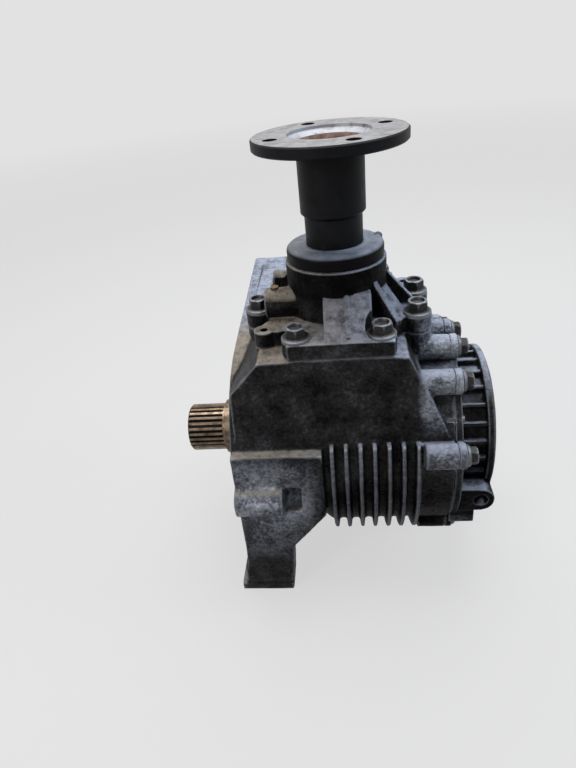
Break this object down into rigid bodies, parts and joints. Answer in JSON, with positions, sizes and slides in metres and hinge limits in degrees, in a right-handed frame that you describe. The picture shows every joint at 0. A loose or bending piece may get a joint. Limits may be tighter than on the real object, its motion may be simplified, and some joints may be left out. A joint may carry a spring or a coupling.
{
  "type": "transfer case",
  "caption": "Right-angle transfer case: hollow splined input shaft, bevel gears inside a finned cast case, and an upright companion flange on a long stem.",
  "frame": {"origin": "where the input axis meets the output axis, the common apex of the bevel gears, inside the input shaft's through bore", "axes": "+X along the input axis away from the spline; +Z along the output axis towards the companion flange; -Y towards the leg"},
  "size_m": [0.2607, 0.286, 0.3644],
  "materials": {
    "cast_aluminium": "rough sand casting, oily and dirty",
    "dark_steel": "dark oiled steel",
    "bright_steel": "machined steel",
    "bearing_steel": "ground and polished",
    "cover_paint": "satin blue-grey",
    "brass_fitting": "dull brass",
    "copper_washer": "dull copper",
    "seal_rubber": "black nitrile rubber"
  },
  "bodies": {
    "case": {"main_case": "cast_aluminium", "end_cover": "cast_aluminium", "output_housing": "cast_aluminium", "housing_bolts": "dark_steel", "cover_bolts": "dark_steel", "housing_dowels": "bright_steel", "cover_dowels": "bright_steel", "fill_plug": "dark_steel", "drain_plug": "dark_steel", "plug_washers": "copper_washer", "breather": "brass_fitting", "input_seal": "seal_rubber", "cover_seal": "seal_rubber", "output_seal": "seal_rubber", "housing_oring": "seal_rubber", "cover_oring": "seal_rubber", "input_bearing_cup": "bearing_steel", "cover_bearing_cup": "bearing_steel", "pinion_head_bearing_cup": "bearing_steel", "pinion_tail_bearing_cup": "bearing_steel", "input_bearing_shim": "bright_steel", "cover_bearing_shim": "bright_steel"},
    "ring_gear_shaft": {"input_shaft": "bright_steel", "ring_gear": "bright_steel", "ring_gear_bolts": "bright_steel", "input_bearing_cone": "bearing_steel", "input_bearing_rollers": "bearing_steel", "cover_bearing_cone": "bearing_steel", "cover_bearing_rollers": "bearing_steel"},
    "pinion": {"collapsible_spacer": "bright_steel", "companion_flange": "dark_steel", "dust_cover": "cover_paint", "nut_washer": "bright_steel", "pinion_gear": "bright_steel", "pinion_head_bearing_cone": "bearing_steel", "pinion_head_bearing_rollers": "bearing_steel", "pinion_nut": "bright_steel", "pinion_shim": "bright_steel", "pinion_tail_bearing_cone": "bearing_steel", "pinion_tail_bearing_rollers": "bearing_steel"}
  },
  "joints": [
    {"name": "input_spin", "type": "hinge", "parent": "case", "child": "ring_gear_shaft", "pos_m": [0, 0, 0], "axis": [1, 0, 0], "continuous": true},
    {"name": "output_spin", "type": "hinge", "parent": "case", "child": "pinion", "pos_m": [0, 0, 0], "axis": [0, 0, 1], "continuous": true}
  ],
  "couplings": [
    {"joint": "output_spin", "follows": "input_spin", "ratio": -2.4667}
  ]
}
